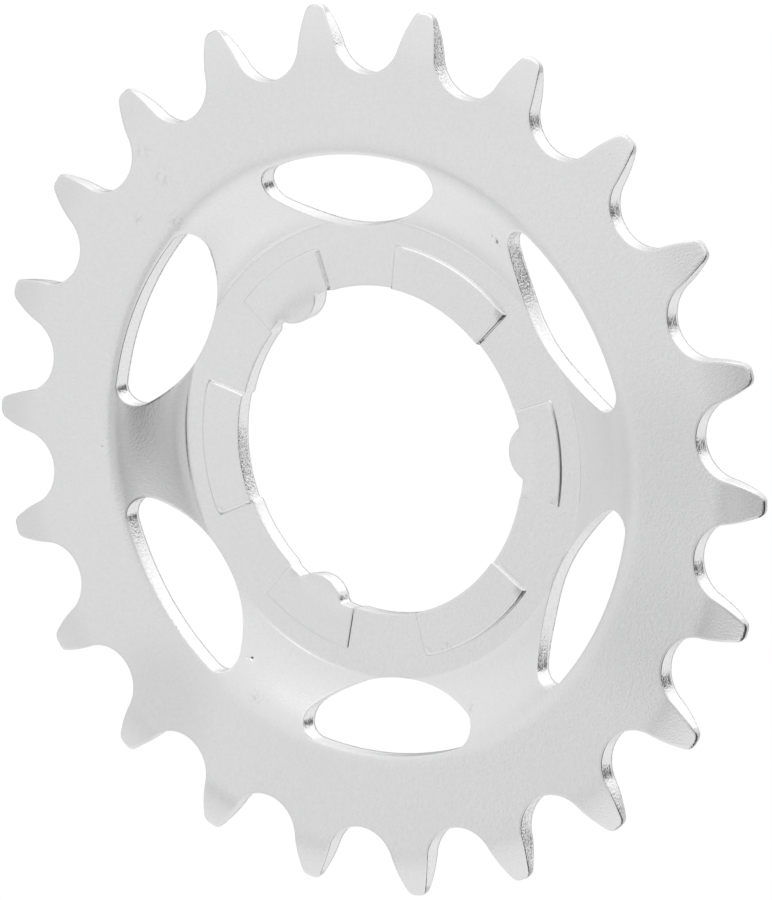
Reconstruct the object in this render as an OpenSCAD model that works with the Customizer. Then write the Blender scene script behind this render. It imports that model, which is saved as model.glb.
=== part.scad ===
// Bicycle hub gear sprocket: one stamped and dished steel plate, 22 teeth,
// six lens-shaped windows, six raised pads and three driving lugs at the bore.
// Modelled with its axis along Z, outer side up, then stood upright so that the
// axis lies along Y and the outer side looks toward -Y.

/* [Teeth] */

// Number of teeth round the rim
tooth_count = 22; // [16:1:28]
// Chain pitch, the straight distance between two roller seats, in mm
chain_pitch = 12.7; // [12.7:0.1:13]
// Radius of the roller seat between two teeth, in mm
seat_radius = 4.18; // [3.8:0.02:4.4]
// Radius from the axis to the top of a tooth, in mm
tip_reach = 47.6; // [46.5:0.05:48]
// Radius of the rounded tooth top, in mm
tip_rounding = 1.25; // [0.8:0.05:1.6]
// How far a flank bulges out from a straight line, in mm
flank_bulge = 0.1; // [0:0.02:0.3]
// Width of the band at the tooth tops that is thinned, in mm
taper_band = 5.0; // [2:0.1:6]
// Depth taken off each face at the very top of a tooth, in mm
taper_depth = 0.82; // [0.2:0.05:0.9]

/* [Plate] */

// Thickness of the steel plate, in mm
plate_thickness = 2.3; // [1.8:0.1:3.2]
// How far the hub plane is set back behind the rim plane, in mm
dish_depth = 3.25; // [0:0.05:6]
// Radius of the inner bend, where the hub plane turns into the slope, in mm
inner_bend = 24.5; // [23:0.1:26]
// Radius of the outer bend, where the slope turns into the rim plane, in mm
outer_bend = 32.5; // [30:0.1:36]

/* [Windows] */

// Number of lens-shaped windows
window_count = 6; // [3:1:8]
// Radius of the outer edge of a window from the axis, in mm
window_outer = 32.2; // [30:0.1:34]
// Radius of the inner edge of a window from the axis, in mm
window_inner = 24.3; // [23:0.1:27]
// Radius of the curve of the inner edge, in mm
window_curve = 17.0; // [14:0.5:24]
// Radius of the two rounded ends, in mm
window_end = 2.0; // [1:0.1:3]

/* [Hub] */

// Radius of the bore, in mm
bore_radius = 17.6; // [17:0.05:18]
// Number of driving lugs inside the bore
lug_count = 3; // [3:1:3]
// Radius of the circle that rounds a lug, in mm
lug_rounding = 3.2; // [2.5:0.1:4]
// Radius from the axis to the top of a lug, in mm
lug_reach = 16.1; // [15.5:0.05:17]
// Radius of the relief beside each lug, in mm
relief_radius = 18.0; // [17.7:0.05:18.3]
// Outer radius of the raised pads, in mm
pad_outer = 22.4; // [21:0.1:23.5]
// Height of the three plain pads above the hub plane, in mm
pad_height = 0.52; // [0.2:0.02:0.9]
// Height of the three pads that carry a lug, in mm
lug_pad_height = 0.34; // [0.2:0.02:0.9]
// Angle covered by a plain pad, in degrees
plain_pad_angle = 39.2; // [30:0.2:44]
// Angle covered by a pad that carries a lug, in degrees
lug_pad_angle = 29.6; // [24:0.2:40]
// Angle of the hub pattern against the tooth pattern, in degrees
hub_turn = -2.7; // [-8:0.1:8]

/* [Hidden] */

$fn = 96;

// Colour of the plated steel
steel = [0.80, 0.80, 0.81];
// Overlap that keeps cutting tools clear of the faces they cut
over = 1;

// Steps along half a roller seat, along a tooth top, and along a window edge
seat_steps = 8;
tip_steps = 8;
edge_steps = 20;
end_steps = 10;

// Tooth geometry, in the frame of a tooth that points along +Y
step = 360 / tooth_count;
half_step = step / 2;
pitch_radius = chain_pitch / 2 / sin(half_step);
seat_x = pitch_radius * sin(half_step);
seat_y = pitch_radius * cos(half_step);
tip_y = tip_reach - tip_rounding;
span = sqrt(seat_x * seat_x + (tip_y - seat_y) * (tip_y - seat_y));
flank = acos((seat_radius + tip_rounding) / span) - atan2(tip_y - seat_y, seat_x);
flank_top = [tip_rounding * cos(flank), tip_y + tip_rounding * sin(flank)];
flank_foot = [seat_x - seat_radius * cos(flank), seat_y - seat_radius * sin(flank)];
flank_out = [cos(flank), sin(flank)];

// Heights of the two planes; zero is the back of the hub
hub_front = plate_thickness;
rim_back = dish_depth;
rim_front = dish_depth + plate_thickness;
slope = atan2(dish_depth, outer_bend - inner_bend);
bend_shift = plate_thickness * tan(slope / 2);
taper_start = tip_reach - taper_band;
// Share of the taper depth reached a little past the middle of the band
taper_share = 0.42;
taper_middle = tip_reach - taper_band * 0.45;
taper_end = taper_depth * (1 + (1 - taper_share) * over / (taper_band * 0.45));

// Window geometry, for a window whose middle lies on +Y
curve_y = window_inner + window_curve;
end_from_axis = window_outer - window_end;
end_from_curve = window_curve - window_end;
end_y = (end_from_axis * end_from_axis - end_from_curve * end_from_curve
    + curve_y * curve_y) / (2 * curve_y);
end_x = sqrt(end_from_axis * end_from_axis - end_y * end_y);
outer_turn = atan2(end_y, end_x);
inner_turn = atan2(end_y - curve_y, end_x);

// The sub-parts, in build order
// Which sub-part to draw: "all" or one name from the list above

// Points along an arc round a centre, from one angle to another
function arc(centre, r, from, to, steps) =
    [for (i = [0 : steps])
        let (a = from + (to - from) * i / steps)
            centre + r * [cos(a), sin(a)]];

// Angle that an inset takes off the two ends of a pad
function trim(inset) = 2 * inset / pad_outer * 180 / PI;

// A point turned round the origin
function turned(p, a) =
    [p[0] * cos(a) - p[1] * sin(a), p[0] * sin(a) + p[1] * cos(a)];

// Inner points of the right flank, bulging a little out of the straight line
function flank_points() =
    [for (t = [0.25, 0.5, 0.75])
        flank_foot + (flank_top - flank_foot) * t
            + flank_out * flank_bulge * 4 * t * (1 - t)];

// Right half of a tooth: seat bottom, flank, round top
function half_tooth() = concat(
    arc([seat_x, seat_y], seat_radius, 270 - half_step, 180 + flank, seat_steps),
    flank_points(),
    arc([0, tip_y], tip_rounding, flank, 90, tip_steps)
);

// Whole tooth, right half then its mirror image, without the last shared point
function whole_tooth() =
    let (right = half_tooth(), n = len(right))
        concat(right, [for (i = [n - 2 : -1 : 1]) [-right[i][0], right[i][1]]]);

// Outline of the toothed plate, one tooth at the top
module toothed_outline() {
    tooth = whole_tooth();
    polygon([
        for (i = [0 : tooth_count - 1])
            for (p = tooth)
                turned(p, i * step)
    ]);
}

// Half section of the dished plate, from the axis to the tooth tops
module plate_section() {
    polygon([
        [0, 0],
        [inner_bend + bend_shift, 0],
        [outer_bend + bend_shift, rim_back],
        [taper_start, rim_back],
        [taper_middle, rim_back + taper_depth * taper_share],
        [tip_reach + over, rim_back + taper_end],
        [tip_reach + over, rim_front - taper_end],
        [taper_middle, rim_front - taper_depth * taper_share],
        [taper_start, rim_front],
        [outer_bend, rim_front],
        [inner_bend, hub_front],
        [0, hub_front]
    ]);
}

// The solid dished plate with its teeth
module toothed_plate() {
    intersection() {
        rotate_extrude()
            plate_section();
        translate([0, 0, -over])
            linear_extrude(height = rim_front + 2 * over)
                toothed_outline();
    }
}

// Lens-shaped window outline with rounded ends, its middle on +Y
module window_outline() {
    polygon(concat(
        arc([0, 0], window_outer, outer_turn, 180 - outer_turn, edge_steps),
        arc([-end_x, end_y], window_end, 180 - outer_turn, 180 - inner_turn, end_steps),
        arc([0, curve_y], window_curve, 180 - inner_turn, 360 + inner_turn, edge_steps),
        arc([end_x, end_y], window_end, inner_turn, outer_turn, end_steps)
    ));
}

// Ring sector outline, its middle on +X
module sector(inner, outer, angle) {
    reach = outer * 1.3;
    difference() {
        intersection() {
            circle(r = outer);
            polygon([
                [0, 0],
                [reach, -reach * tan(angle / 2)],
                [reach, reach * tan(angle / 2)]
            ]);
        }
        circle(r = inner);
    }
}

// The three plain pads, or with a small inset the recesses behind them
module plain_pads(inset) {
    for (i = [0 : lug_count - 1])
        rotate((i + 0.5) * 360 / lug_count)
            sector(bore_radius - over, pad_outer - inset, plain_pad_angle - trim(inset));
}

// The three pads that carry a lug, or with a small inset the area behind them
module lug_pads(inset) {
    for (i = [0 : lug_count - 1])
        rotate(i * 360 / lug_count)
            sector(bore_radius - over, pad_outer - inset, lug_pad_angle - trim(inset));
}

// The three circles that round the lugs
module lug_circles() {
    for (i = [0 : lug_count - 1])
        rotate(i * 360 / lug_count)
            translate([lug_reach + lug_rounding, 0])
                circle(r = lug_rounding);
}

// Opening through the hub: round bore, reliefs beside the lugs, lugs left standing
module bore_outline() {
    difference() {
        union() {
            circle(r = bore_radius);
            for (i = [0 : lug_count - 1])
                rotate(i * 360 / lug_count)
                    sector(bore_radius - over, relief_radius, lug_pad_angle);
        }
        lug_circles();
    }
}

// Recesses on the back of the pads with lugs; the lugs themselves stay full
module lug_pad_recesses() {
    difference() {
        lug_pads(0.25);
        lug_circles();
    }
}

// The part as it lies on the bench, outer side up
module flat_sprocket() {
    difference() {
        union() {
            toothed_plate();
            rotate(hub_turn)
                translate([0, 0, hub_front - 0.2]) {
                    linear_extrude(height = pad_height + 0.2)
                        plain_pads(0);
                    linear_extrude(height = lug_pad_height + 0.2)
                        lug_pads(0);
                }
        }
        rotate(hub_turn) {
            translate([0, 0, -over])
                linear_extrude(height = rim_front + 2 * over)
                    bore_outline();
            translate([0, 0, -over]) {
                linear_extrude(height = pad_height + over)
                    plain_pads(0.25);
                linear_extrude(height = lug_pad_height + over)
                    lug_pad_recesses();
            }
            for (i = [0 : window_count - 1])
                rotate(i * 360 / window_count)
                    translate([0, 0, -over])
                        linear_extrude(height = rim_front + 2 * over)
                            window_outline();
        }
    }
}

// The sprocket standing upright, axis along Y
module sprocket() {
    color(steel)
        rotate([90, 0, 0])
            flat_sprocket();
}

sprocket();
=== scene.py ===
"""Visual model of a dished 22-tooth bicycle hub gear sprocket, stamped from one
steel plate and plated. The plate is laid out flat in plan millimetres: x to the
right, y up, and a height h that is 0 at the back of the hub and grows toward the
outer side. It is then stood upright in the frame's metres as (x, -h, y)."""
import math
import bpy
import numpy as np
from mathutils import Matrix, Vector, kdtree
from mathutils.geometry import delaunay_2d_cdt
from mathutils.noise import noise


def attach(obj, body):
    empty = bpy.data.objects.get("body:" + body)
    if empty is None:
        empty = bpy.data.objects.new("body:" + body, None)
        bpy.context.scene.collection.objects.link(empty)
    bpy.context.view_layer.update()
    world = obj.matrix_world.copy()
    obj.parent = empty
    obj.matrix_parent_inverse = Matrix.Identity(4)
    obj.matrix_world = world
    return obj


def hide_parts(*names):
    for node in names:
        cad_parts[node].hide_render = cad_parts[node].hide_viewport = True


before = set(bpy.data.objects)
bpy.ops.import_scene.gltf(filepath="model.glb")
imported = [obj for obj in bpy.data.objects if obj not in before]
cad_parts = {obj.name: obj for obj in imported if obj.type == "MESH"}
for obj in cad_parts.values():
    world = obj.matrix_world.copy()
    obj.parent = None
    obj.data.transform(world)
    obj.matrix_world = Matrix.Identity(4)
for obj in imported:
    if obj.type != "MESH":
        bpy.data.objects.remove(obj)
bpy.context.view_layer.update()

MM = 0.001

# Teeth, in mm. A tooth top is a short flat between two round corners, thinned on both faces.
TOOTH_COUNT = 22
CHAIN_PITCH = 12.7
SEAT_RADIUS = 4.18
TIP_REACH = 47.6
TIP_CORNER = 0.95
TIP_HALF_FLAT = 0.3
FLANK_BULGE = 0.1
TAPER_BAND = 5.4
TAPER_DEPTH = 0.82
TAPER_POWER = 2.0

# Plate and its two bends, in mm
PLATE = 2.3
DISH = 3.25
INNER_BEND = 24.7
OUTER_BEND = 32.5
# Steepness of the dished part from its inner to its outer end: radius and relative slope
DISH_SLOPE = [(24.6, 0.0), (25.0, 0.46), (26.0, 0.74), (28.0, 0.92), (29.6, 1.0), (30.8, 0.92),
              (31.7, 0.62), (32.3, 0.3), (32.8, 0.1), (33.4, 0.0)]
# Fine step of metal pushed up along the inner bend, highest between two windows:
# its height and width, where past the bend it starts to sink, and over what distance
CREASE_HEIGHT = 0.11
CREASE_WIDTH = 0.11
CREASE_CREST = 0.1
CREASE_RUN = 1.6

# Windows, in mm
WINDOW_COUNT = 6
WINDOW_OUTER = 32.1
WINDOW_INNER = 24.2
WINDOW_CURVE = 17.0
WINDOW_END = 2.0
# The windows were punched a little low against the teeth and the bore
WINDOW_SHIFT = (0.0, -0.28)

# Hub: the bore with its reliefs and lugs, in mm, and angles in degrees
HUB_TURN = -2.7
BORE_RADIUS = 17.6
RELIEF_RADIUS = 17.82
RELIEF_RAMP = 2.8
LUG_COUNT = 3
LUG_STEP = 360 / LUG_COUNT
LUG_ROUNDING = 3.2
LUG_REACH = 16.1
LUG_CENTRE = LUG_REACH + LUG_ROUNDING
LUG_FILLET = 0.25
# The lugs are pressed a little lower: how deep, out to what radius, over what distance it
# fades outward, and over what distance beside the lug's circle
LUG_DROP = 0.12
LUG_DROP_RADIUS = 19.0
LUG_DROP_FADE = 2.0
LUG_DROP_WIDTH = 1.6

# Pads: angle in degrees; height, soft edge band, sag of that band, rounding of the outline's
# corners and droop of the outer corners, in mm. The three pads with lugs differ in height.
PAD_OUTER = 22.4
PLAIN_PAD = dict(angle=39.2, height=0.52, soft=0.34, sag=0.2, corner=0.15, droop=0.36)
LUG_PAD = dict(angle=29.6, soft=0.26, sag=0.09, corner=0.3, droop=0.0)
PADS = [
    (0, dict(LUG_PAD, height=0.21, droop=0.1)), (60, PLAIN_PAD),
    (120, dict(LUG_PAD, height=0.36)), (180, PLAIN_PAD),
    (240, dict(LUG_PAD, height=0.09, sag=0.04)), (300, PLAIN_PAD),
]
# Width of a pad's steep wall, how far from a corner the droop reaches, and how fast it falls
PAD_WALL = 0.06
DROOP_REACH = 1.2
DROOP_POWER = 1.4
# The recesses behind the pads: how much smaller they are, half the width of their wall, and
# the width of the wall round a lug, which stays full
RECESS_TRIM = 0.25
RECESS_SOFT = 0.12
RECESS_LUG_WALL = 0.1

# Edges: how far the front lip rolls over, and how far the back is torn away, in mm.
# The dishing leaned the inner walls of the windows into the opening, so theirs is negative.
TOOTH_EDGE = dict(roll=0.07, seat_roll=0.03, tip_roll=0.05, torn=0.05)
WINDOW_EDGE = dict(roll=0.055, torn=0.05, inner_torn=-0.18)
BORE_EDGE = dict(roll=0.045, torn=0.18)
# Where the change from seat to flank, flank to tip and inner to outer window wall starts,
# as a radius, and over what distance it happens
SEAT_END = (41.0, 3.0)
TIP_START = (45.0, 1.6)
OUTER_WALL_START = (25.5, 3.5)
# Depth of the rolled lip as a share of its width
ROLL_DEPTH = 0.85
# How far down the wall the tearing starts, as a share, and over what share it grows
TEAR_START = 0.25
TEAR_GROWTH = 0.3
# How far the torn wall is set back in mm, and its coarse and fine waves: how many per mm
# along the wall, how many down the wall, and how deep
TEAR_DEPTH = 0.03
TEAR_WAVES = [(0.6, 0.8, 0.012), (1.6, 2.0, 0.006)]
# Width and height of the narrow broken edge between the wall and the back, in mm
LIP = 0.02

# Small dents and nicks on the front: position, radius and depth, in mm
DENTS = [
    (18.2, 21.6, 0.38, 0.15), (17.8, 22.1, 0.2, 0.06), (18.5, 21.0, 0.16, 0.05),
    (-18.4, -21.9, 0.2, 0.15), (-18.9, -21.8, 0.12, 0.05), (-33.6, 2.0, 0.14, 0.08),
    (30.1, -24.6, 0.12, 0.03), (-14.6, 38.2, 0.13, 0.03), (37.9, 9.2, 0.1, 0.03),
]

# Dark specks on the front, painted shade in the nicks and dirt: position and radius, in mm
SHADE_AND_DIRT_SPECKS = [(-18.4, -21.9, 0.17), (-19.0, -21.9, 0.08), (18.3, 21.5, 0.2), (-33.6, 2.0, 0.09),
          (-14.2, -26.6, 0.1)]

# Faint smudges on the front: position and radius, in mm
SMUDGES = [(-23.5, 33.7, 1.6), (-21.4, 30.7, 1.9), (-25.3, 26.5, 1.3), (5.9, -21.1, 1.3),
           (8.8, -27.4, 1.1), (-20.4, 25.9, 1.8), (-17.6, -26.0, 1.5)]

# Wide patches of painted shade on the front, where the metal mirrors darker: position and
# radius in mm, and how much they darken
SHADE_PATCHES = [(36.0, -2.0, 13.0, 0.08), (33.0, -19.0, 12.0, 0.09), (-29.5, -25.5, 9.0, 0.09)]

# How strong the specks and smudges are, how far a speck fades out and how much of a painted
# shade patch has its full strength, as shares of their radius, and how ragged edges are, in mm
SPECK_STRENGTH = 0.85
SPECK_FADE = 1.8
SPECK_RAGGED = 0.2
SMUDGE_STRENGTH = 0.15
SHADE_PATCH_CORE = 0.2

# Where the punch tore the walls most: place in the upright frame, full and outer radius, in mm
WORN_SPOTS = [((-17.4, -1.2, -0.4), 1.8, 4.8), ((20.6, -3.0, 20.6), 3.0, 6.5),
              ((14.2, -4.4, 41.2), 2.5, 4.5), ((14.4, -4.4, -41.5), 2.5, 4.5)]

# Colours of the plating, of painted shade in the walls' pits and back edges, of old dirt and
# painted shade in the nicks, and of the painted shade patches
PLATING_DULL = (0.765, 0.765, 0.77, 1)
PLATING_BRIGHT = (0.835, 0.835, 0.838, 1)
WALL_SHADE = (0.10, 0.10, 0.105, 1)
DIRT_AND_SHADE = (0.16, 0.15, 0.14, 1)
PAINTED_SHADE = (0.16, 0.16, 0.16, 1)
# Noise textures: scale (waves per metre, or per unit of the streaks' own stretched space),
# detail and roughness
STREAKS = (6.0, 3.0, 0.6)
CLOUD = (55.0, 3.0, 0.55)
GRAIN = (4600.0, 1.5, 0.6)
SPARKLE = (3300.0, 2.0, 0.7)
SPECK_EDGE = (5200.0, 1.0, 0.5)
SMEAR = (2300.0, 3.0, 0.65)
TEAR_PATCH = (420.0, 2.0, 0.5)
GRIT = (3800.0, 1.0, 0.6)
EDGE_SHADE_DOTS = (3300.0, 0.0, 0.5)
EDGE_SHADE_STRETCHES = (90.0, 1.0, 0.5)
# The part of each noise over which its effect grows from none to full, or for the painted shade in
# pits falls
TONE_SPAN = (0.3, 0.7)
CLOUD_SPAN = (0.3, 0.7)
SMEAR_SPAN = (0.46, 0.62)
TEETH_SPAN = (0.52, 0.6)
STRETCHES_SPAN = (0.46, 0.58)
PIT_SHADE_SPAN = (0.40, 0.54)
# Face: stretch of the streaks outward per metre and around per radian, roughness in the
# clear and cloudy parts, depth of the grain in mm, its strength, and the radii in mm over
# which it grows toward the tooth tops
STREAK_RADIAL = 55.0
STREAK_AROUND = 38.0
FACE_ROUGHNESS = (0.2, 0.27)
GRAIN_DEPTH = 0.06
FACE_GRAIN = 0.22
TIP_GRAIN = 0.42
TIP_GRAIN_RADII = (43.0, 45.5)
# Walls, in shares of the way from front to back: where the grit fades, to what share, and
# how wavy that border is; and where the painted shade along the back edge grows
GRIT_FADE = (0.45, 0.95)
GRIT_AT_BACK = 0.35
GRIT_BORDER = 0.6
EDGE_SHADE_START = (0.84, 0.95)
# Walls: depth of the grit in mm, harshness away from the worn spots, strength of the painted
# shade in pits and along the back edge, roughness where smooth and where torn, and the blunt
# tops of the teeth from one radius in mm to another
GRIT_DEPTH = 0.13
WALL_HARSHNESS = 0.3
PIT_SHADE_STRENGTH = 0.3
EDGE_SHADE_STRENGTH = 0.4
WALL_ROUGHNESS = (0.24, 0.17)
BLUNT_ROUGHNESS = 0.6
BLUNT_RADII = (46.3, 46.8)

# Mesh density: spacing of the edges' points in mm, rows of faces down the wall and over the
# lip, and where the grid that fills a face starts and how close its rows are to each other
OUTLINE_STEP = 0.24
BORE_STEP = 0.16
WALL_STEPS = 5
ROLL_STEPS = 4
FILL_START = 16.2
ROW_SPACING = 0.87
# Distances in mm below which two points of an outline, or of a face, are the same one
DOUBLED = 1e-6
SAME_POINT = 1e-7
# Points inside each face, in mm. Rows that follow the edges: inset, every which point, and
# least distance from an edge. Rings round the bend and rows along the pads' outlines, with
# their spacing. The filling grid leaves out the bend's radii and a band inside and outside
# each pad's outline.
CREASE_RINGS = (-0.3, -0.14, -0.055, -0.03, 0.0, 0.03, 0.055, 0.12, 0.25, 0.5, 0.85, 1.25,
                1.7, 2.2)
FRONT_SPREAD = dict(
    rows=[(0.24, 1, 0.22), (0.52, 2, 0.48)],
    bend_rings=[INNER_BEND + gap for gap in CREASE_RINGS], bend_step=0.33,
    pad_rings=(-1.1, -0.8, -0.58, -0.42, -0.34, -0.28, -0.22, -0.17, -0.13, -0.1, -0.078,
               -PAD_WALL, -0.045, -0.015, 0.0, 0.05, 0.18), pad_step=0.27,
    detail_clearance=0.1, bend=(24.0, 26.9), pad_band=(1.3, 0.4), fill_step=0.8,
    fill_clearance=0.8)
BACK_SPREAD = dict(
    rows=[(0.35, 2, 0.3)],
    bend_rings=(24.6, 24.8, 25.0, 25.3, 25.7), bend_step=0.7,
    pad_rings=(-0.6, -0.42, -0.34, -0.25, -0.16, -0.1, 0.0), pad_step=0.4,
    detail_clearance=0.12, bend=(24.2, 26.2), pad_band=(0.75, 0.2), fill_step=1.05,
    fill_clearance=0.7)

# Studio: brightness of the room that the metal mirrors, and of what the camera sees past it
ROOM_LEVEL = 0.945
BACKDROP_LEVEL = 1.05
WHITE = (1, 1, 1, 1)
# Each lobe: direction it fills, degrees to its full part, degrees to its edge, strength.
# Soft lights add their strength; dark gaps between the lights take away that share.
SOFT_LIGHTS = [
    ((-0.04, -0.35, 0.94), 20, 36, 0.55),
    ((0.17, 0.81, 0.55), 14, 36, 0.34),
    ((0.75, -0.50, 0.42), 8, 24, 0.35),
    ((-0.15, -0.70, -0.70), 6, 22, 0.06),
    ((-0.82, -0.27, -0.50), 6, 22, 0.06),
]
DARK_GAPS = [
    ((-0.17, -0.97, -0.17), 2, 17, 0.31),
    ((0.12, -0.98, -0.10), 4, 18, 0.41),
    ((-0.42, -0.89, -0.20), 1, 6, 0.66),
    ((-0.89, -0.44, -0.10), 1, 31, 0.16),
    ((-0.62, -0.73, -0.29), 1, 5, 0.44),
    ((0.72, -0.42, -0.55), 34, 48, 0.95),
    ((0.20, -0.30, -0.93), 8, 22, 0.8),
    ((0.97, 0.15, -0.10), 20, 36, 0.9),
    ((-0.78, 0.10, 0.62), 8, 24, 0.3),
    ((0.55, 0.83, -0.06), 4, 14, 0.95),
    ((-0.36, 0.82, -0.44), 5, 19, 0.12),
    ((-0.80, 0.58, 0.00), 10, 29, 0.75),
    ((-0.86, 0.49, -0.12), 10, 26, 0.85),
]

# Floor and camera, in the frame's metres. The camera's three axes say how it is turned.
FLOOR_HALF = 6.0
FLOOR_LEVEL = -0.32
CAMERA_PLACE = (0.31637, -0.47993, 0.06960)
CAMERA_RIGHT = (0.83652, 0.53605, -0.11353)
CAMERA_UP = (0.02936, 0.16305, 0.98618)
CAMERA_BACK = (0.54715, -0.82829, 0.12065)
LENS = 218.5
SENSOR_WIDTH = 36.0

# Kinds of surface; the first two are also the material slots
FACE, WALL, BROKEN_EDGE = 0, 1, 2
# A face is smooth shaded when this much of its normal, or more, runs along the axis
LEVEL_ENOUGH = 0.45


# ---------------------------------------------------------------- small helpers
def smooth(t):
    """0 below 0, 1 above 1, and an S-curve between them."""
    t = np.clip(t, 0.0, 1.0)
    return t * t * (3 - 2 * t)


def rising(value, start, width):
    """0 up to start, 1 from start + width on, and an S-curve between them."""
    return smooth((value - start) / width)


def polar(radius, degrees):
    """The plan point at this radius and angle round the axis."""
    a = math.radians(degrees)
    return radius * math.cos(a), radius * math.sin(a)


def dished(r, shift=0.0):
    """Height gained from the hub plane toward the rim plane at radius r."""
    samples = 400
    at = np.linspace(DISH_SLOPE[0][0], DISH_SLOPE[-1][0], samples)
    steep = np.interp(at, *zip(*DISH_SLOPE))
    gained = np.r_[0, np.cumsum((steep[1:] + steep[:-1]) / 2)]
    return DISH * np.interp(r - shift, at, gained / gained[-1])


def arc(cx, cy, radius, start, stop, step=0.05):
    """Points along an arc, angles in radians."""
    count = max(2, int(abs(stop - start) * radius / step))
    a = np.linspace(start, stop, count)
    return np.c_[cx + radius * np.cos(a), cy + radius * np.sin(a)]


def turned(points, degrees):
    """The points turned anticlockwise round the axis."""
    c, s = math.cos(math.radians(degrees)), math.sin(math.radians(degrees))
    return points @ np.array([[c, s], [-s, c]])


def resampled(points, step):
    """The closed polyline again, with even spacing close to step and no doubled points."""
    closed = np.vstack([points, points[:1]])
    lengths = np.hypot(*np.diff(closed, axis=0).T)
    closed = closed[np.r_[True, lengths > DOUBLED]]
    along = np.r_[0, np.cumsum(np.hypot(*np.diff(closed, axis=0).T))]
    count = int(round(along[-1] / step))
    at = np.arange(count) * along[-1] / count
    return np.c_[np.interp(at, along, closed[:, 0]), np.interp(at, along, closed[:, 1])]


def outward_normals(points):
    """Unit normals to the right of travel, so out of a loop that runs anticlockwise."""
    ahead = np.roll(points, -1, axis=0) - np.roll(points, 1, axis=0)
    normals = np.c_[ahead[:, 1], -ahead[:, 0]]
    return normals / np.hypot(*normals.T)[:, None]


# --------------------------------------------------------------------- outlines
def tooth_half():
    """Right half of the tooth on +y, from the middle of its seat to its top."""
    flank_steps = 120
    half = math.pi / TOOTH_COUNT
    pitch_radius = CHAIN_PITCH / 2 / math.sin(half)
    sx, sy = pitch_radius * math.sin(half), pitch_radius * math.cos(half)
    tx, ty = TIP_HALF_FLAT, TIP_REACH - TIP_CORNER
    span = math.hypot(sx - tx, ty - sy)
    lean = math.acos((SEAT_RADIUS + TIP_CORNER) / span) - math.atan2(ty - sy, sx - tx)
    out = np.array([math.cos(lean), math.sin(lean)])
    foot = np.array([sx, sy]) - SEAT_RADIUS * out
    head = np.array([tx, ty]) + TIP_CORNER * out
    seat = arc(sx, sy, SEAT_RADIUS, 1.5 * math.pi - half, math.pi + lean)
    t = np.linspace(0, 1, flank_steps)[1:-1, None]
    flank = foot + (head - foot) * t + out * FLANK_BULGE * 4 * t * (1 - t)
    corner = arc(tx, ty, TIP_CORNER, lean, math.pi / 2)
    return np.vstack([seat, flank, corner])


def toothed_outline():
    """Outer edge of the plate, anticlockwise."""
    right = tooth_half()
    left = right[::-1] * [-1, 1]
    tooth = np.vstack([right, left])
    step = 360 / TOOTH_COUNT
    return np.vstack([turned(tooth, k * step) for k in range(TOOTH_COUNT)])


def window_outline(k):
    """Edge of window k, anticlockwise."""
    curve_y = WINDOW_INNER + WINDOW_CURVE
    far, near = WINDOW_OUTER - WINDOW_END, WINDOW_CURVE - WINDOW_END
    end_y = (far ** 2 - near ** 2 + curve_y ** 2) / (2 * curve_y)
    end_x = math.sqrt(far ** 2 - end_y ** 2)
    outer = math.atan2(end_y, end_x)
    inner = math.atan2(end_y - curve_y, end_x)
    edge = np.vstack([
        arc(0, 0, WINDOW_OUTER, outer, math.pi - outer),
        arc(-end_x, end_y, WINDOW_END, math.pi - outer, math.pi - inner),
        arc(0, curve_y, WINDOW_CURVE, math.pi - inner, 2 * math.pi + inner),
        arc(end_x, end_y, WINDOW_END, inner, outer),
    ])
    return turned(edge, k * 360 / WINDOW_COUNT + HUB_TURN) + WINDOW_SHIFT


def bore_outline():
    """Edge of the bore with its reliefs and three lugs, anticlockwise."""
    samples = 24000
    # A lug's circle ends at this angle in degrees; past it the radius rises by this per degree
    lug_edge, beyond_edge = 9.3, 1.5
    theta = np.linspace(0, 2 * math.pi, samples + 1)[:-1]
    around = (np.degrees(theta) - HUB_TURN + LUG_STEP / 2) % LUG_STEP - LUG_STEP / 2
    half_relief = LUG_PAD["angle"] / 2
    relief = smooth((half_relief - np.abs(around)) / RELIEF_RAMP + 0.5)
    radius = BORE_RADIUS + (RELIEF_RADIUS - BORE_RADIUS) * relief
    phi = np.radians(np.clip(around, -lug_edge, lug_edge))
    lug = LUG_CENTRE * np.cos(phi) - np.sqrt(LUG_ROUNDING ** 2 - (LUG_CENTRE * np.sin(phi)) ** 2)
    lug += np.maximum(np.abs(around) - lug_edge, 0) * beyond_edge
    # The smaller of the two radii, with a fillet where they meet
    mix = np.clip((lug - radius) / LUG_FILLET / 2 + 0.5, 0, 1)
    radius = lug * (1 - mix) + radius * mix - LUG_FILLET * mix * (1 - mix)
    return np.c_[radius * np.cos(theta), radius * np.sin(theta)]


def make_loops():
    """Every edge of the plate: points, normals out of the metal, roll-over, torn depth."""
    loops = []

    def add(points, roll, torn):
        """Roll and torn are one number for the whole edge, or one for each point."""
        loops.append((points, outward_normals(points), roll * np.ones(len(points)),
                      torn * np.ones(len(points))))

    outer = resampled(toothed_outline(), OUTLINE_STEP)
    radius = np.hypot(*outer.T)
    seat, tip = 1 - rising(radius, *SEAT_END), rising(radius, *TIP_START)
    roll = TOOTH_EDGE["roll"] + TOOTH_EDGE["seat_roll"] * seat + TOOTH_EDGE["tip_roll"] * tip
    add(outer, roll, TOOTH_EDGE["torn"])
    for k in range(WINDOW_COUNT):
        edge = resampled(window_outline(k), OUTLINE_STEP)[::-1]
        outward = rising(np.hypot(*edge.T), *OUTER_WALL_START)
        lean = WINDOW_EDGE["inner_torn"] * (1 - outward)
        add(edge, WINDOW_EDGE["roll"], lean + WINDOW_EDGE["torn"] * outward)
    bore = resampled(bore_outline(), BORE_STEP)[::-1]
    add(bore, BORE_EDGE["roll"], BORE_EDGE["torn"])
    return loops


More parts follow.
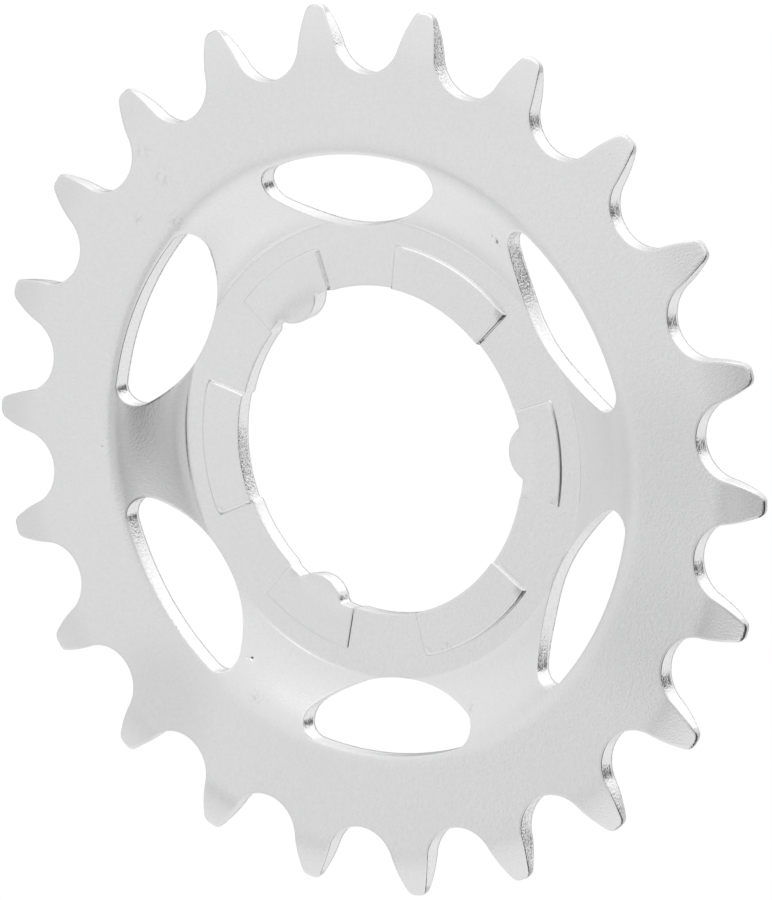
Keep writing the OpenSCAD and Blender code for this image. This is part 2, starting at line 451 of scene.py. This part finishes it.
# -------------------------------------------------------------- pads and heights
def pad_distance(x, y, centre, pad, trim=0.0):
    """Signed distance in mm to a pad's outline, negative on the pad."""
    r = np.hypot(x, y)
    around = (np.degrees(np.arctan2(y, x)) - centre - HUB_TURN + 180) % 360 - 180
    end = r * np.sin(np.radians(np.clip(np.abs(around) - pad["angle"] / 2, -90, 90)))
    rounding = pad["corner"]
    a = r - PAD_OUTER + trim + rounding
    b = end + trim + rounding
    outside = np.hypot(np.maximum(a, 0), np.maximum(b, 0))
    return np.minimum(np.maximum(a, b), 0) + outside - rounding


def corner_nearness(x, y, centre, pad):
    """1 at a pad's two outer corners, 0 further than DROOP_REACH from them."""
    near = 0
    for side in (-1, 1):
        cx, cy = polar(PAD_OUTER, centre + HUB_TURN + side * pad["angle"] / 2)
        gap = np.hypot(x - cx, y - cy)
        near = np.maximum(near, np.clip(1 - gap / DROOP_REACH, 0, 1) ** DROOP_POWER)
    return near


def pad_rise(x, y, centre, pad):
    """Height of one pad above the hub plane: flat top, slightly sagging edge, steep wall."""
    d = pad_distance(x, y, centre, pad)
    t = np.clip((d + pad["soft"]) / (pad["soft"] - PAD_WALL), 0, 1)
    edge = pad["sag"] * (1 - np.sqrt(1 - t ** 2))
    corner = pad["droop"] * corner_nearness(x, y, centre, pad)
    wall = 1 - np.clip((d + PAD_WALL) / PAD_WALL, 0, 1)
    return (pad["height"] - edge - corner) * wall


def near_lug(x, y, width):
    """1 inside a lug's rounding circle, 0 further than width outside it."""
    near = 0
    for k in range(LUG_COUNT):
        cx, cy = polar(LUG_CENTRE, LUG_STEP * k + HUB_TURN)
        gap = np.hypot(x - cx, y - cy)
        near = np.maximum(near, smooth((LUG_ROUNDING + width - gap) / width))
    return near


def thinned(r):
    """Metal taken off each face toward the tooth tops at radius r."""
    t = np.clip((r - TIP_REACH + TAPER_BAND) / TAPER_BAND, 0, 1)
    return TAPER_DEPTH * t ** TAPER_POWER


def crease(x, y, r):
    """Height of the fine step along the inner bend."""
    between_windows = np.cos(WINDOW_COUNT / 2 * (np.arctan2(y, x) - math.radians(HUB_TURN))) ** 2
    step = smooth((r - INNER_BEND + CREASE_WIDTH / 2) / CREASE_WIDTH)
    step *= 1 - smooth((r - INNER_BEND - CREASE_CREST) / CREASE_RUN)
    return CREASE_HEIGHT * between_windows * step


def front_height(x, y):
    """Height of the outer side of the plate."""
    r = np.hypot(x, y)
    h = PLATE + dished(r) + crease(x, y, r) - thinned(r)
    for centre, pad in PADS:
        h = h + pad_rise(x, y, centre, pad)
    for dx, dy, size, deep in DENTS:
        h = h - deep * (1 - smooth(np.hypot(x - dx, y - dy) / size))
    inward = smooth((LUG_DROP_RADIUS - r) / LUG_DROP_FADE)
    return h - LUG_DROP * inward * near_lug(x, y, LUG_DROP_WIDTH)


def back_height(x, y):
    """Height of the back of the plate, whose bends lie further out by half their turn."""
    r = np.hypot(x, y)
    shift = PLATE * math.tan(math.atan(DISH / (OUTER_BEND - INNER_BEND)) / 2)
    h = dished(r, shift) + thinned(r)
    lug = near_lug(x, y, RECESS_LUG_WALL)
    for centre, pad in PADS:
        d = pad_distance(x, y, centre, pad, RECESS_TRIM)
        recess = smooth((RECESS_SOFT - d) / (2 * RECESS_SOFT))
        h = h + pad["height"] * recess * (1 - lug)
    return h


# ------------------------------------------------------------------ face meshing
def pad_rings(offsets, step):
    """Rows of points that run along every pad's outline at these offsets from it. They
    start inside the bore, because the lugs carry the pads inward."""
    into_bore, corner_steps, tolerance = 1.5, 6, 0.01
    rows = []
    for centre, pad in PADS:
        rounding = pad["corner"]
        radius = PAD_OUTER - rounding
        half = math.radians(pad["angle"] / 2)
        turn = half - math.asin(rounding / radius)
        cx, cy = radius * math.cos(turn), radius * math.sin(turn)
        end_dir = np.array([math.cos(half), math.sin(half)])
        end_out = np.array([-math.sin(half), math.cos(half)])
        reach = float(np.dot([cx, cy], end_dir))
        base, out = [], []
        for s in np.arange(BORE_RADIUS - into_bore, reach, step):
            base.append(end_dir * s)
            out.append(end_out)
        for a in np.linspace(half + math.pi / 2, turn, corner_steps):
            out.append(np.array([math.cos(a), math.sin(a)]))
            base.append(np.array([cx, cy]) + out[-1] * rounding)
        for a in np.arange(turn - step / PAD_OUTER, 0, -step / PAD_OUTER):
            out.append(np.array([math.cos(a), math.sin(a)]))
            base.append(out[-1] * PAD_OUTER)
        base, out = np.array(base), np.array(out)
        for offset in offsets:
            upper = base + out * offset
            row = turned(np.vstack([upper, upper * [1, -1]]), centre + HUB_TURN)
            d = pad_distance(row[:, 0], row[:, 1], centre, pad)
            rows.append(row[np.abs(d - offset) < tolerance])
    return np.vstack(rows)


def dent_points(x, y, size):
    """Small rings of points that give a dent its shape."""
    count = 10
    rows = [[x, y]]
    for share in (0.2, 0.4, 0.6, 0.8, 1.0, 1.2):
        for a in np.arange(count) * 2 * math.pi / count + share:
            rows.append([x + size * share * math.cos(a), y + size * share * math.sin(a)])
    return np.array(rows)


def ring(r, step, stagger=0.0):
    """Evenly spaced points round the axis, moved on by a share of their spacing."""
    count = int(2 * math.pi * r / step)
    a = (np.arange(count) + stagger) * 2 * math.pi / count
    return np.c_[r * np.cos(a), r * np.sin(a)]


def fill_points(step, bend_start, bend_stop):
    """A staggered polar grid over the whole plate, leaving out the radii round a bend."""
    radii = np.arange(FILL_START, TIP_REACH, step * ROW_SPACING)
    return np.vstack([ring(r, step, 0.5 * (i % 2)) for i, r in enumerate(radii)
                      if not bend_start < r < bend_stop])


def near_pad(points, inside, outside):
    """True where a point lies in the band that the pad rings already fill."""
    hit = np.zeros(len(points), bool)
    for centre, pad in PADS:
        d = pad_distance(points[:, 0], points[:, 1], centre, pad)
        hit |= (d > -inside) & (d < outside)
    return hit


class Rim:
    """Finds how far a point is inside the metal, from the edge loops of one face."""

    def __init__(self, points, normals):
        self.points, self.normals = points, normals
        self.tree = kdtree.KDTree(len(points))
        for i, p in enumerate(points):
            self.tree.insert((p[0], p[1], 0), i)
        self.tree.balance()

    def depth(self, p):
        """Distance to the nearest edge point, negative outside the metal."""
        _, i, _ = self.tree.find((p[0], p[1], 0))
        gap = self.points[i] - p
        side = gap @ self.normals[i]
        return math.copysign(math.hypot(*gap), side)


def triangulate(edges, rim, groups):
    """Triangles between the edge loops: indices count the loops' points, then the kept ones.
    Each group of inner points keeps its own distance from the loops."""
    kept = np.array([p for points, clearance in groups for p in points
                     if rim.depth(p) > clearance])
    points = np.vstack([rim.points, kept])
    flat = [Vector(p) for p in points.tolist()]
    result = delaunay_2d_cdt(flat, edges, [], 0, SAME_POINT)
    if len(result[0]) != len(flat):
        raise RuntimeError("the face's edge loops cross")
    faces = []
    for f in result[2]:
        a, b, c = (points[i] for i in f)
        if rim.depth((a + b + c) / 3) > 0:
            faces.append(tuple(f))
    return kept, faces


def followers(points, normals, inset, every):
    """A row of points inside the metal that follows the edge loops."""
    return (points - normals * inset)[::every]


# ------------------------------------------------------------------- whole plate
def wall_wobble(points, share):
    """How far the sheared wall is torn back from the punched line at this depth, in mm."""
    torn = np.full(len(points), TEAR_DEPTH)
    for along, down, deep in TEAR_WAVES:
        torn += [deep * noise(Vector((x * along, y * along, share * down))) for x, y in points]
    return rising(share, TEAR_START, TEAR_GROWTH) * torn


def lip_rings(points, normals, roll):
    """Rings over the rolled front lip, from the flat face to the top of the wall."""
    top = front_height(*points.T)
    rings = []
    for i in range(ROLL_STEPS + 1):
        a = math.pi / 2 * i / ROLL_STEPS
        inset = roll * (1 - math.sin(a))
        p = points - normals * inset[:, None]
        level = front_height(*p.T) if i == 0 else top
        rings.append((p, level - roll * ROLL_DEPTH * (1 - math.cos(a))))
    return rings


def wall_rings(points, normals, torn, wall_top):
    """Rings down the sheared wall, and a last one that closes the broken edge at the back."""
    back_edge = torn + wall_wobble(points, 1.0)
    bottom = back_height(*(points - normals * back_edge[:, None]).T)
    rings = []
    for i in range(1, WALL_STEPS + 1):
        share = i / WALL_STEPS
        back = torn * max(share - TEAR_START, 0) / (1 - TEAR_START)
        back = back + wall_wobble(points, share)
        p = points - normals * back[:, None]
        rings.append((p, wall_top + (bottom + LIP - wall_top) * share))
    p = points - normals * (back_edge + LIP)[:, None]
    return rings + [(p, back_height(*p.T))]


def inner_groups(points, normals, spread, extra):
    """Inner points of one face, each group with its own least distance from the edges."""
    rows = [(followers(points, normals, inset, every), clearance)
            for inset, every, clearance in spread["rows"]]
    bends = [ring(r, spread["bend_step"]) for r in spread["bend_rings"]]
    pads = pad_rings(spread["pad_rings"], spread["pad_step"])
    detail = np.vstack(bends + extra + [pads])
    fill = fill_points(spread["fill_step"], *spread["bend"])
    fill = fill[~near_pad(fill, *spread["pad_band"])]
    return rows + [(detail, spread["detail_clearance"]), (fill, spread["fill_clearance"])]


def plate_mesh():
    """Vertices in plan mm, faces, the kind of each face, and each vertex's depth down the wall."""
    loops = make_loops()
    points, normals, roll, torn = (np.concatenate(part) for part in zip(*loops))
    count = len(points)
    following = list(range(1, count + 1))
    loop_start = 0
    for loop_points, *_ in loops:
        loop_stop = loop_start + len(loop_points)
        following[loop_stop - 1] = loop_start
        loop_start = loop_stop

    rings = lip_rings(points, normals, roll)
    rings += wall_rings(points, normals, torn, rings[-1][1])
    last = len(rings) - 1
    verts = [np.c_[p, h] for p, h in rings]
    faces, kinds = [], []
    for k in range(last):
        here, below = k * count, (k + 1) * count
        faces += [(here + i, below + i, below + j, here + j) for i, j in enumerate(following)]
        kind = FACE if k < ROLL_STEPS - 1 else WALL
        kinds += [BROKEN_EDGE if k == last - 1 else kind] * count
    edges = list(enumerate(following))
    dents = [dent_points(*dent[:3]) for dent in DENTS]
    for k, height, spread, extra in ((0, front_height, FRONT_SPREAD, dents),
                                     (last, back_height, BACK_SPREAD, [])):
        edge = rings[k][0]
        groups = inner_groups(edge, normals, spread, extra)
        add_face(verts, faces, kinds, edges, edge, normals, groups, height, k * count)

    depth = np.zeros(sum(len(v) for v in verts))
    for k in range(len(rings)):
        depth[k * count:(k + 1) * count] = np.clip((k - ROLL_STEPS) / WALL_STEPS, 0, 1)
    return np.vstack(verts), faces, kinds, depth


def add_face(verts, faces, kinds, edges, points, normals, groups, height, first):
    """Closes the front or the back of the plate. Its ring of edge points starts at vertex
    first, which is 0 for the front."""
    count = len(points)
    rim = Rim(points, normals)
    kept, triangles = triangulate(edges, rim, groups)
    offset = sum(len(v) for v in verts)
    verts.append(np.c_[kept, height(*kept.T)])
    upward = first == 0
    for a, b, c in triangles:
        ids = [i + first if i < count else i - count + offset for i in (a, b, c)]
        faces.append(tuple(ids) if upward else tuple(ids[::-1]))
        kinds.append(FACE)


def build_sprocket():
    """The whole plate as one object, stood upright in the frame."""
    plan, faces, kinds, depth = plate_mesh()
    upright = np.c_[plan[:, 0], -plan[:, 2], plan[:, 1]] * MM
    mesh = bpy.data.meshes.new("sprocket_plate")
    mesh.from_pydata(upright.tolist(), [], faces)
    mesh.validate()
    mesh.attributes.new("wall_depth", "FLOAT", "POINT").data.foreach_set("value", depth)
    mesh.polygons.foreach_set("material_index", np.minimum(kinds, WALL).astype(np.int32))
    # Walls and level faces are smooth shaded; steep steps and the broken edge stay crisp
    gentle = [kind == WALL or kind == FACE and abs(face.normal.y) > LEVEL_ENOUGH
              for kind, face in zip(kinds, mesh.polygons)]
    mesh.polygons.foreach_set("use_smooth", np.array(gentle, dtype=bool))
    mesh.update()
    obj = bpy.data.objects.new("sprocket_plate", mesh)
    bpy.context.collection.objects.link(obj)
    return obj


# --------------------------------------------------------------------- materials
class Nodes:
    """Shorthand for building a node tree."""

    def __init__(self, tree):
        self.tree = tree
        tree.nodes.clear()

    def add(self, kind, inputs=None, **settings):
        """A new node with these settings, its inputs linked or set."""
        node = self.tree.nodes.new(kind)
        for key, value in settings.items():
            setattr(node, key, value)
        for key, value in (inputs or {}).items():
            self.put(node, key, value)
        return node

    def put(self, node, key, value):
        """Links a socket to the input, or sets the input's own value."""
        if isinstance(value, bpy.types.NodeSocket):
            self.tree.links.new(value, node.inputs[key])
        else:
            node.inputs[key].default_value = value

    def math(self, operation, a, b=0.0):
        return self.add("ShaderNodeMath", {0: a, 1: b}, operation=operation).outputs[0]

    def sum(self, *parts):
        """The sum of values, each times its share."""
        total = None
        for value, share in parts:
            part = self.math("MULTIPLY", value, share)
            total = part if total is None else self.math("ADD", total, part)
        return total

    def mixed(self, share, colour, other):
        """The colour with this share of the other one."""
        node = self.add("ShaderNodeMix", {"Factor": share}, data_type="RGBA")
        self.put(node, 6, colour)
        self.put(node, 7, other)
        return node.outputs[2]

    def distance(self, position, place):
        """How far a position is from a place, both in metres."""
        node = self.add("ShaderNodeVectorMath", {0: position, 1: place}, operation="DISTANCE")
        return node.outputs["Value"]

    def ranged(self, value, low, high, to_low, to_high, smooth_step=True):
        """The value carried from low..high over to to_low..to_high, held at both ends."""
        node = self.add("ShaderNodeMapRange",
                        {"Value": value, "From Min": low, "From Max": high,
                         "To Min": to_low, "To Max": to_high})
        node.interpolation_type = "SMOOTHSTEP" if smooth_step else "LINEAR"
        return node.outputs[0]

    def noise(self, vector, scale, detail, roughness):
        node = self.add("ShaderNodeTexNoise",
                        {"Vector": vector, "Scale": scale, "Detail": detail,
                         "Roughness": roughness})
        return node.outputs["Fac"]


def plan_polar(n):
    """Object position, radius and angle round the bore, as sockets (metres, radians)."""
    position = n.add("ShaderNodeTexCoord").outputs["Object"]
    split = n.add("ShaderNodeSeparateXYZ", {0: position})
    x, z = split.outputs[0], split.outputs[2]
    radius = n.math("SQRT", n.math("ADD", n.math("MULTIPLY", x, x), n.math("MULTIPLY", z, z)))
    angle = n.math("ARCTAN2", z, x)
    return position, radius, angle


def on_front(x, y):
    """A plan point on the front of the plate, in the frame's metres."""
    return x * MM, -front_height(x, y) * MM, y * MM


def spotted(n, position, colour):
    """The colour with small dark specks, painted shade in the nicks and dirt, and faint smudges of
    old oil.
    """
    ragged = n.math("MULTIPLY", n.noise(position, *SPECK_EDGE), SPECK_RAGGED * MM)
    smeared = n.ranged(n.noise(position, *SMEAR), *SMEAR_SPAN, 0.0, 1.0)
    # Specks: painted shade in the nicks, and dirt
    for x, y, size in SHADE_AND_DIRT_SPECKS:
        gap = n.math("ADD", n.distance(position, on_front(x, y)), ragged)
        share = n.ranged(gap, size * MM, size * SPECK_FADE * MM, SPECK_STRENGTH, 0.0)
        colour = n.mixed(share, colour, DIRT_AND_SHADE)
    for x, y, size in SMUDGES:
        gap = n.math("ADD", n.distance(position, on_front(x, y)), ragged)
        share = n.ranged(gap, 0.0, size * MM, SMUDGE_STRENGTH, 0.0)
        colour = n.mixed(n.math("MULTIPLY", share, smeared), colour, DIRT_AND_SHADE)
    return colour


def with_shade_patches(n, position, colour):
    """The colour a little darker over wide soft patches: painted shade where the metal mirrors
    darker.
    """
    for x, y, size, strength in SHADE_PATCHES:
        gap = n.distance(position, on_front(x, y))
        share = n.ranged(gap, SHADE_PATCH_CORE * size * MM, size * MM, strength, 0.0)
        colour = n.mixed(share, colour, PAINTED_SHADE)
    return colour


def face_material():
    """Satin plated face: faint streaks that run with the press, cloudy polish, fine grain."""
    mat = bpy.data.materials.new("plated_face")
    mat.use_nodes = True
    n = Nodes(mat.node_tree)
    position, radius, angle = plan_polar(n)
    polar_place = n.add("ShaderNodeCombineXYZ", {
        0: n.math("MULTIPLY", radius, STREAK_RADIAL),
        1: n.math("MULTIPLY", angle, STREAK_AROUND)})
    streaks = n.noise(polar_place.outputs[0], *STREAKS)
    cloud = n.noise(position, *CLOUD)
    sparkle = n.noise(position, *SPARKLE)
    tone = n.sum((streaks, 0.25), (cloud, 0.25), (sparkle, 0.5))
    brightness = n.ranged(tone, *TONE_SPAN, 0.0, 1.0, smooth_step=False)
    colour = n.mixed(brightness, PLATING_DULL, PLATING_BRIGHT)
    # Painted shade: dark specks in the nicks and wide darker patches where the metal mirrors
    # darker; the smudges are dirt
    colour = with_shade_patches(n, position, spotted(n, position, colour))
    height = n.sum((n.noise(position, *GRAIN), 0.93), (streaks, 0.07))
    tip_start, tip_full = TIP_GRAIN_RADII
    strength = n.ranged(radius, tip_start * MM, tip_full * MM, FACE_GRAIN, TIP_GRAIN)
    bump = n.add("ShaderNodeBump",
                 {"Strength": strength, "Distance": GRAIN_DEPTH * MM, "Height": height})
    shader = n.add("ShaderNodeBsdfPrincipled",
                   {"Base Color": colour, "Metallic": 1.0,
                    "Roughness": n.ranged(cloud, *CLOUD_SPAN, *FACE_ROUGHNESS),
                    "Normal": bump.outputs[0]})
    n.add("ShaderNodeOutputMaterial", {"Surface": shader.outputs[0]})
    return mat


def worn_places(n, position):
    """1 in the places where the punch tore the wall most, 0 away from them."""
    worn = 0.0
    for place, full, edge in WORN_SPOTS:
        gap = n.distance(position, Vector(place) * MM)
        worn = n.math("MAXIMUM", worn, n.ranged(gap, full * MM, edge * MM, 1.0, 0.0))
    return worn


def back_edge_shade(n, position, depth):
    """1 where dots of painted shade lie along the ragged back edge of the wall."""
    teeth = n.ranged(n.noise(position, *EDGE_SHADE_DOTS), *TEETH_SPAN, 0.0, 1.0)
    stretches = n.ranged(n.noise(position, *EDGE_SHADE_STRETCHES), *STRETCHES_SPAN, 0.0, 1.0)
    at_back = n.ranged(depth, *EDGE_SHADE_START, 0.0, 1.0)
    return n.math("MULTIPLY", at_back, n.math("MULTIPLY", teeth, stretches))


def wall_material():
    """Punched wall: gritty in places, with painted shade in the grit's hollows and in dots along
    the back edge, and blunt at the tooth tops.
    """
    mat = bpy.data.materials.new("plated_wall")
    mat.use_nodes = True
    n = Nodes(mat.node_tree)
    position, radius, _ = plan_polar(n)
    depth = n.add("ShaderNodeAttribute", attribute_name="wall_depth").outputs["Fac"]
    waves = n.math("SUBTRACT", n.noise(position, *TEAR_PATCH), 0.5)
    level = n.math("ADD", depth, n.math("MULTIPLY", waves, GRIT_BORDER))
    torn = n.ranged(level, *GRIT_FADE, 1.0, GRIT_AT_BACK)
    worn = worn_places(n, position)
    harsh = n.math("MULTIPLY", torn, n.ranged(worn, 0.0, 1.0, WALL_HARSHNESS, 1.0))
    grit = n.noise(position, *GRIT)
    bump = n.add("ShaderNodeBump",
                 {"Strength": harsh, "Distance": GRIT_DEPTH * MM, "Height": grit})
    # Painted shade: the grit's hollows darkened toward near black
    pit_shade = n.math("MULTIPLY", harsh, n.ranged(grit, *PIT_SHADE_SPAN, PIT_SHADE_STRENGTH, 0.0))
    # Painted shade: dark dots along the wall's back edge
    edge_shade = n.math("MULTIPLY", back_edge_shade(n, position, depth), EDGE_SHADE_STRENGTH)
    tone = n.mixed(n.math("MAXIMUM", pit_shade, edge_shade), PLATING_BRIGHT, WALL_SHADE)
    blunt_start, blunt_full = BLUNT_RADII
    blunt = n.ranged(radius, blunt_start * MM, blunt_full * MM, 0.0, BLUNT_ROUGHNESS)
    rough = n.math("MAXIMUM", n.ranged(torn, 0.0, 1.0, *WALL_ROUGHNESS), blunt)
    shader = n.add("ShaderNodeBsdfPrincipled",
                   {"Base Color": tone, "Metallic": 1.0, "Roughness": rough,
                    "Normal": bump.outputs[0]})
    n.add("ShaderNodeOutputMaterial", {"Surface": shader.outputs[0]})
    return mat


# ------------------------------------------------------------------------ studio


def lobe(n, direction, centre, full, edge):
    """1 in the lobe's full part, falling to 0 at its edge."""
    unit = Vector(centre).normalized()
    dot = n.add("ShaderNodeVectorMath", {0: direction, 1: unit}, operation="DOT_PRODUCT")
    return n.ranged(dot.outputs["Value"], math.cos(math.radians(edge)),
                    math.cos(math.radians(full)), 0.0, 1.0)


def studio_world():
    """White room with soft lights and the dark gaps between them, as in a real studio."""
    world = bpy.data.worlds.new("studio")
    world.use_nodes = True
    bpy.context.scene.world = world
    n = Nodes(world.node_tree)
    direction = n.add("ShaderNodeTexCoord").outputs["Generated"]
    level = ROOM_LEVEL
    for centre, full, edge, strength in DARK_GAPS:
        gap = n.math("MULTIPLY", lobe(n, direction, centre, full, edge), strength)
        level = n.math("MULTIPLY", level, n.math("SUBTRACT", 1.0, gap))
    for centre, full, edge, strength in SOFT_LIGHTS:
        light = n.math("MULTIPLY", lobe(n, direction, centre, full, edge), strength)
        level = n.math("ADD", level, light)
    room = n.add("ShaderNodeBackground", {"Color": WHITE, "Strength": level})
    seen = n.add("ShaderNodeBackground", {"Color": WHITE, "Strength": BACKDROP_LEVEL})
    path = n.add("ShaderNodeLightPath").outputs["Is Camera Ray"]
    mixed = n.add("ShaderNodeMixShader", {0: path, 1: room.outputs[0], 2: seen.outputs[0]})
    n.add("ShaderNodeOutputWorld", {"Surface": mixed.outputs[0]})


def add_floor():
    """A wide pale floor well below the object, bright enough to show no edge."""
    mesh = bpy.data.meshes.new("floor")
    corners = [(x * FLOOR_HALF, y * FLOOR_HALF, FLOOR_LEVEL)
               for x, y in ((-1, -1), (1, -1), (1, 1), (-1, 1))]
    mesh.from_pydata(corners, [], [(0, 1, 2, 3)])
    floor = bpy.data.objects.new("floor", mesh)
    bpy.context.collection.objects.link(floor)
    mat = bpy.data.materials.new("floor_white")
    mat.use_nodes = True
    n = Nodes(mat.node_tree)
    glow = n.add("ShaderNodeEmission", {"Color": WHITE, "Strength": 1.0})
    n.add("ShaderNodeOutputMaterial", {"Surface": glow.outputs[0]})
    mesh.materials.append(mat)
    floor.visible_glossy = False


def add_camera():
    """Long lens from the front right and a little above, slightly rolled."""
    data = bpy.data.cameras.new("camera")
    data.lens = LENS
    data.sensor_width = SENSOR_WIDTH
    camera = bpy.data.objects.new("camera", data)
    turn = Matrix((CAMERA_RIGHT, CAMERA_UP, CAMERA_BACK)).transposed()
    camera.matrix_world = Matrix.Translation(CAMERA_PLACE) @ turn.to_4x4()
    bpy.context.collection.objects.link(camera)
    bpy.context.scene.camera = camera


def main():
    """Builds the sprocket and its studio."""
    sprocket = build_sprocket()
    sprocket.data.materials.append(face_material())
    sprocket.data.materials.append(wall_material())
    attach(sprocket, "root")
    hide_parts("sprocket")
    studio_world()
    add_floor()
    add_camera()
    view = bpy.context.scene.view_settings
    view.view_transform = "Standard"
    view.look = "None"


main()
